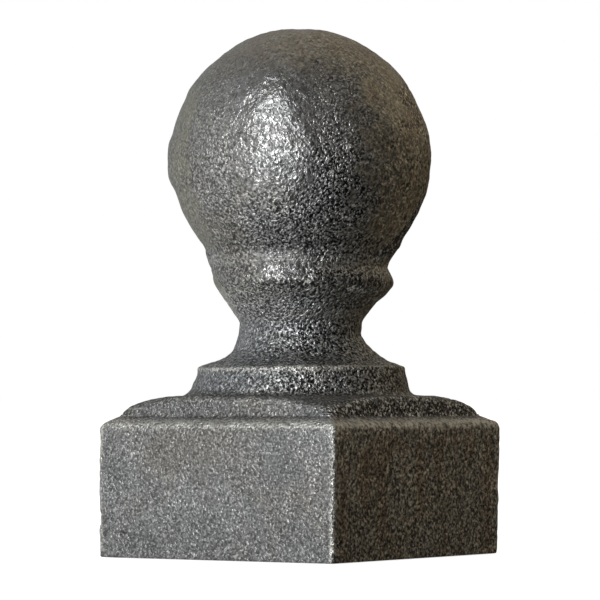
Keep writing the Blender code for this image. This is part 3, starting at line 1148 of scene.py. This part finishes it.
def noise(tree, place, scale, detail=0.0, distortion=0.0):
    """A three-dimensional noise, about 0.5, over a place given in metres."""
    inputs = (("Scale", scale), ("Detail", detail), ("Distortion", distortion))
    node = add_node(tree, "ShaderNodeTexNoise", (), inputs)
    tree.links.new(place, node.inputs["Vector"])
    return node.outputs["Fac"]


def remap(tree, value, low, high, to_low=0.0, to_high=1.0, kind="SMOOTHSTEP"):
    """The value from low to high, eased unless told otherwise, as a number from to_low to to_high."""
    inputs = (("From Min", low), ("From Max", high), ("To Min", to_low), ("To Max", to_high))
    node = add_node(tree, "ShaderNodeMapRange", (("interpolation_type", kind),), inputs)
    tree.links.new(value, node.inputs["Value"])
    return node.outputs["Result"]


def blend(tree, amount, first, second, mode="MIX"):
    """One colour over another; either may be a socket or three numbers."""
    node = add_node(tree, "ShaderNodeMix", (("data_type", "RGBA"), ("blend_type", mode)))
    for value, socket in ((amount, node.inputs[0]), (first, node.inputs[6]), (second, node.inputs[7])):
        if isinstance(value, tuple):
            socket.default_value = (*value, 1.0)
        elif isinstance(value, float):
            socket.default_value = value
        else:
            tree.links.new(value, socket)
    return node.outputs[2]


def combine(tree, first, second, operation="MULTIPLY"):
    """Two numbers put together."""
    node = add_node(tree, "ShaderNodeMath", (("operation", operation),))
    for value, socket in zip((first, second), node.inputs):
        tree.links.new(value, socket)
    return node.outputs[0]


def attribute(tree, name):
    return add_node(tree, "ShaderNodeAttribute", (("attribute_name", name),)).outputs["Fac"]


def patches(tree, place, scale, *levels):
    """Broad patches of noise, each a share of one colour over another."""
    return remap(tree, noise(tree, place, scale, PATCH_DETAIL), *levels)


def iron_material():
    """Bare sand-cast iron, dark in the pits of its grain, brighter where it is rubbed or ground, with painted
    shade, highlights and warm light from its attributes.
    """
    material = bpy.data.materials.new("cast_iron")
    material.use_nodes = True
    tree = material.node_tree
    shader = tree.nodes["Principled BSDF"]
    turned = add_node(tree, "ShaderNodeMapping", (), (("Rotation", GRAIN_TURN),))
    tree.links.new(add_node(tree, "ShaderNodeTexCoord").outputs["Object"], turned.inputs["Vector"])
    place = turned.outputs["Vector"]
    names = ("ground", "worn_and_highlight", "dirt_and_shade", "film_and_warm_light", "rough", "relief", "pebbles")
    ground, worn_and_highlight, dirt_and_shade, film_and_warm_light, rough, relief, coarser = (attribute(tree, name) for name in names)

    fine = noise(tree, place, GRAIN_SCALE, 0.0, GRAIN_TWIST)
    pebbles = noise(tree, place, PEBBLE_SCALE, PEBBLE_DETAIL, GRAIN_TWIST)
    fine = blend(tree, coarser, fine, pebbles)
    marks = noise(tree, place, MARK_SCALE, 0.0, GRAIN_TWIST)
    worms = blend(tree, remap(tree, coarser, *MARK_SHARE), fine, marks)
    level = remap(tree, fine, *GRAIN_LEVELS, "LINEAR")
    for mark_levels in (PIT_LEVELS, FLECK_LEVELS):
        level = combine(tree, level, remap(tree, marks, *mark_levels))
    level = blend(tree, rough, WHITE, level)

    colour = blend(tree, patches(tree, place, *LIGHT_PATCHES), DARK_SCALE, LIGHT_SCALE)
    colour = blend(tree, patches(tree, place, *BROWN_STAINS), colour, BROWN_SCALE)
    # Film colour, partly painted warm light on the right and top
    film_and_warm_light_colour = blend(tree, patches(tree, place, *BROWN_PATCHES), FILM_AND_WARM_LIGHT, BROWN_FILM_AND_WARM_LIGHT)
    colour = blend(tree, film_and_warm_light, colour, film_and_warm_light_colour)
    # Bluer cast and painted light on the drum and neck
    colour = blend(tree, attribute(tree, "cool_and_brighter"), colour, COOL_AND_BRIGHTER_TINT, "MULTIPLY")
    colour = blend(tree, attribute(tree, "runs"), colour, RUST_RUN)
    # Dirt and painted shade darken the colour
    colour = blend(tree, dirt_and_shade, colour, DIRT_AND_SHADE)
    colour = blend(tree, remap(tree, ground, 0.0, 1.0, 0.0, GROUND_SHARE), colour, GROUND_IRON)
    colour = blend(tree, 1.0, colour, level, "MULTIPLY")
    deep_pits = remap(tree, marks, *DEEP_PIT_LEVELS)
    colour = blend(tree, 1.0, colour, deep_pits, "MULTIPLY")
    flecks = combine(tree, remap(tree, marks, *DIRT_AND_SHADE_FLECKS), dirt_and_shade)
    flecks = combine(tree, flecks, rough)
    colour = blend(tree, flecks, colour, WORN_AND_HIGHLIGHT_IRON)
    # Wear and painted highlights, on the grain's tips
    rubbed = combine(tree, worn_and_highlight, remap(tree, worms, *RUBBED_TIPS))
    colour = blend(tree, rubbed, colour, WORN_AND_HIGHLIGHT_IRON)
    tree.links.new(colour, shader.inputs["Base Color"])

    gloss = remap(tree, remap(tree, worms, *TIPS), *ROUGHNESS)
    gloss = combine(tree, gloss, remap(tree, relief, *LOW_RELIEF_GLOSS))
    gloss = combine(tree, gloss, remap(tree, ground, *GROUND_ROUGHNESS), "ADD")
    tree.links.new(gloss, shader.inputs["Roughness"])
    tree.links.new(remap(tree, dirt_and_shade, *METALLIC), shader.inputs["Metallic"])
    tree.links.new(remap(tree, dirt_and_shade, *SPECULAR), shader.inputs["Specular IOR Level"])
    bump = add_node(tree, "ShaderNodeBump", (), (("Distance", GRAIN_HEIGHT),))
    tree.links.new(relief, bump.inputs["Strength"])
    tree.links.new(worms, bump.inputs["Height"])
    tree.links.new(bump.outputs["Normal"], shader.inputs["Normal"])
    return material


def make_window():
    """A soft rectangular light that faces the cap, rolled a little, and isn't itself seen."""
    target = Vector((0.0, 0.0, WINDOW_TARGET))
    direction = seen_from_camera(WINDOW_TURN, WINDOW_RISE)
    data = bpy.data.lights.new("window", "AREA")
    data.shape = "RECTANGLE"
    data.size, data.size_y = WINDOW_SIZE
    data.energy = WINDOW_POWER
    data.color = WINDOW_COLOUR
    light = bpy.data.objects.new("window", data)
    bpy.context.scene.collection.objects.link(light)
    light.location = target + direction * WINDOW_DISTANCE
    roll = Matrix.Rotation(math.radians(WINDOW_ROLL), 4, "Z")
    light.rotation_euler = ((-direction).to_track_quat("-Z", "Y").to_matrix().to_4x4() @ roll).to_euler()
    light.visible_camera = False


def make_floor():
    """A pale floor that shows to the camera alone, so that it lights and darkens nothing."""
    bpy.ops.mesh.primitive_plane_add(size=FLOOR_SIZE)
    floor = bpy.context.object
    floor.name = "floor"
    floor.location.z = -FLOOR_GAP
    material = bpy.data.materials.new("floor")
    material.use_nodes = True
    shader = material.node_tree.nodes["Principled BSDF"]
    shader.inputs["Base Color"].default_value = (*FLOOR_COLOUR, 1.0)
    shader.inputs["Roughness"].default_value = 1.0
    shader.inputs["Emission Color"].default_value = (*WHITE, 1.0)
    shader.inputs["Emission Strength"].default_value = FLOOR_GLOW
    floor.data.materials.append(material)
    floor.visible_glossy = False
    floor.visible_diffuse = False
    floor.visible_shadow = False


def facing(tree, direction, towards):
    """How directly a direction of the world faces one way, from -1 to 1."""
    dot = add_node(tree, "ShaderNodeVectorMath", (("operation", "DOT_PRODUCT"),))
    dot.inputs[1].default_value = towards
    tree.links.new(direction, dot.inputs[0])
    return dot.outputs["Value"]


def make_room():
    """What the cap reflects: bright on the left, dark and warm on the right. Seen white."""
    world = bpy.data.worlds.new("room")
    bpy.context.scene.world = world
    world.use_nodes = True
    tree = world.node_tree
    direction = add_node(tree, "ShaderNodeTexCoord").outputs["Generated"]
    leftward = facing(tree, direction, -camera_axes()[0])
    upward = facing(tree, direction, Vector((0.0, 0.0, 1.0)))
    forward = facing(tree, direction, camera_axes()[1])
    colour = blend(tree, remap(tree, leftward, *ROOM_TURN), ROOM_RIGHT, ROOM_LEFT)
    levels = [(forward, ROOM_BACK), (upward, ROOM_TOP), (upward, ROOM_BOTTOM)]
    levels += [(facing(tree, direction, seen_from_camera(*place)), shade) for place, shade in ROOM_SHADES]
    for value, level in levels:
        colour = blend(tree, 1.0, colour, remap(tree, value, *level), "MULTIPLY")
    glow = remap(tree, facing(tree, direction, seen_from_camera(*ROOM_GLOW_PLACE)), *ROOM_GLOW_RANGE)
    colour = blend(tree, glow, colour, ROOM_GLOW, "ADD")
    seen = add_node(tree, "ShaderNodeLightPath").outputs["Is Camera Ray"]
    colour = blend(tree, seen, colour, WHITE)
    tree.links.new(colour, tree.nodes["Background"].inputs["Color"])


make_camera()
casting = make_casting()
casting.data.materials.append(iron_material())
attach(casting, "root")
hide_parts("post_cap")
make_floor()
make_window()
make_room()
bpy.context.scene.view_settings.view_transform = "Standard"
